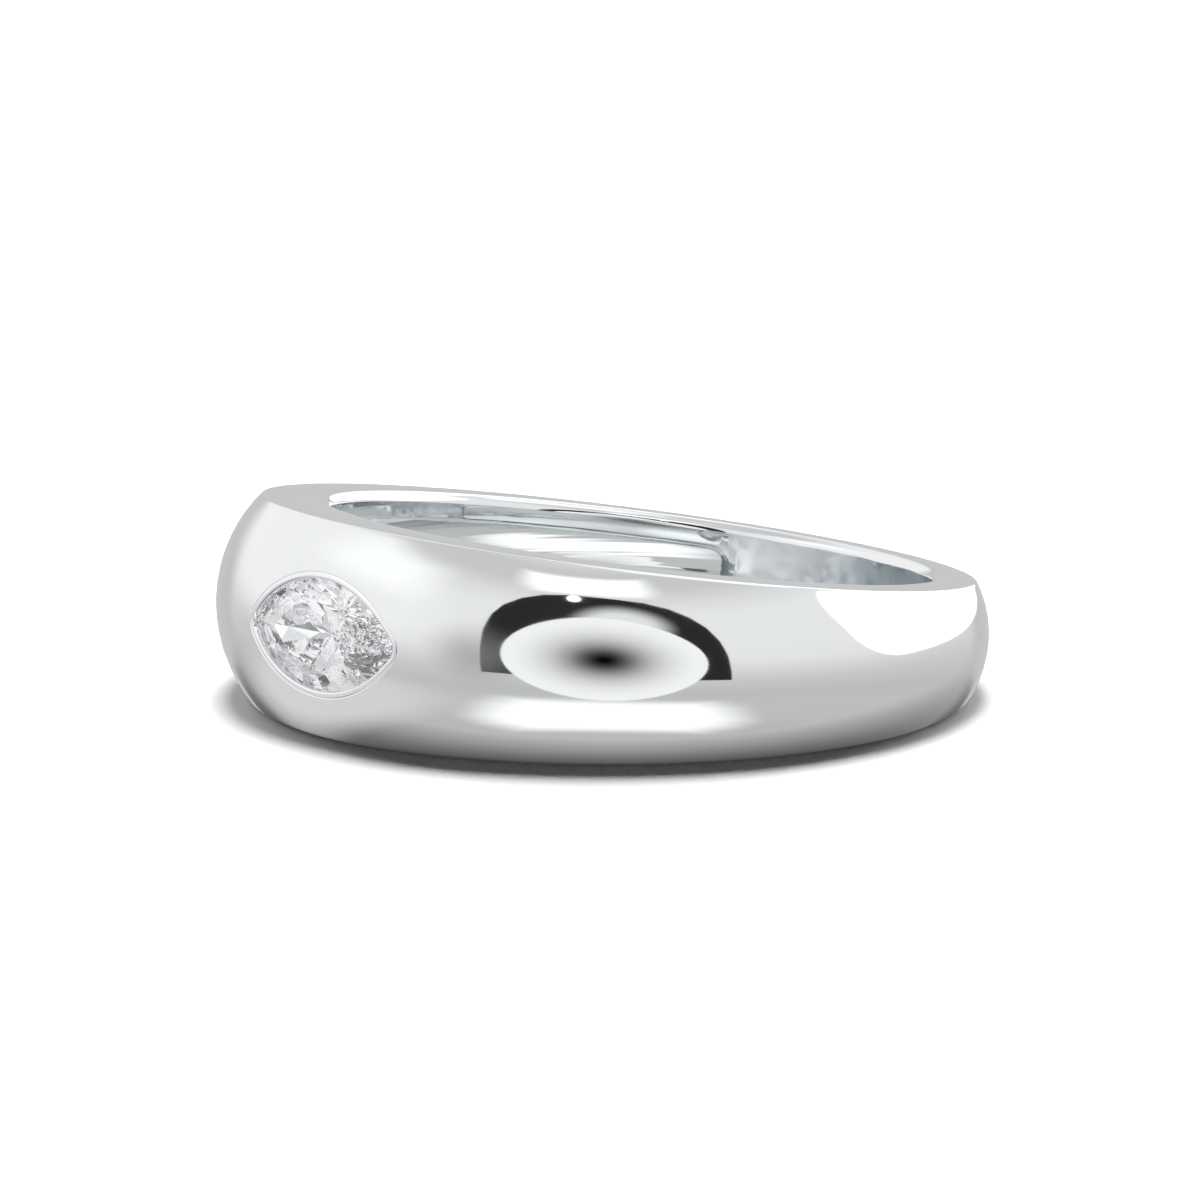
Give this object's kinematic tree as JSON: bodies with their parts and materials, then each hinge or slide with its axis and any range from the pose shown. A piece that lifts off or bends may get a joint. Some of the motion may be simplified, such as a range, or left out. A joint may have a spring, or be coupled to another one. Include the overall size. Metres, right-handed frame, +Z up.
{
  "type": "flush set gypsy ring",
  "caption": "Domed finger ring that widens to a heavy head, with a marquise stone set flush along the band and a hollow under the dome.",
  "frame": {"origin": "where the finger hole's axis meets the surface that the ring lies on", "axes": "+Z up from the resting side face; the stone looks along -Y, raised by 4.7 degrees; +X along the stone"},
  "size_m": [0.0212, 0.0209, 0.0059],
  "materials": {
    "white_gold": "rhodium-plated white gold, mirror polished, with a slightly softer back inside the finger hole",
    "diamond": "clear colourless gem, flat polished facets"
  },
  "bodies": {
    "root": {"band": "white_gold", "marquise_stone": "diamond"}
  },
  "joints": []
}
